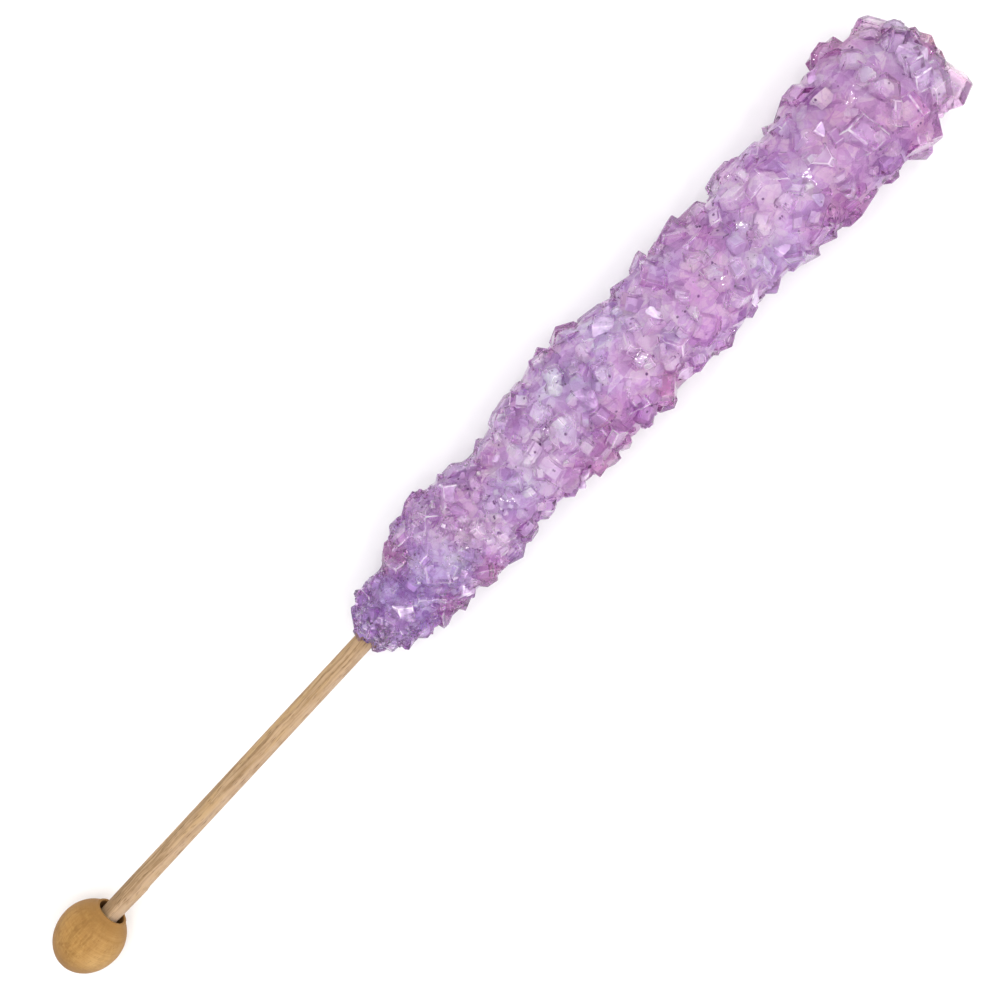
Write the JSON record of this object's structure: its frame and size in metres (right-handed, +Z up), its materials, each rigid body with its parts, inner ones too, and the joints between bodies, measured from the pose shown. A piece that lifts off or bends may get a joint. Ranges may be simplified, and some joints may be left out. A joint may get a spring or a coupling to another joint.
{
  "type": "rock candy stick",
  "caption": "Stick of rock candy: a rough rod of pale purple sugar crystals on a wooden dowel with a small round wooden ball at its end, lying on its side.",
  "frame": {"origin": "on the surface that the stick lies on, under the middle of its bounding box", "axes": "+X along the stick from the wooden ball to the tip of the candy, +Y to the left of that, +Z up"},
  "size_m": [0.1698, 0.0212, 0.0203],
  "materials": {
    "ball_wood": "turned pale hardwood under a thin clear varnish, warm yellow brown",
    "dowel_wood": "bare beech with short dark pores along the grain",
    "purple_sugar": "semi-clear lilac sugar crystals with glossy faces, milky inside, more magenta at the thin edges"
  },
  "bodies": {
    "root": {"ball": "ball_wood", "dowel": "dowel_wood", "candy": "purple_sugar"}
  },
  "joints": []
}
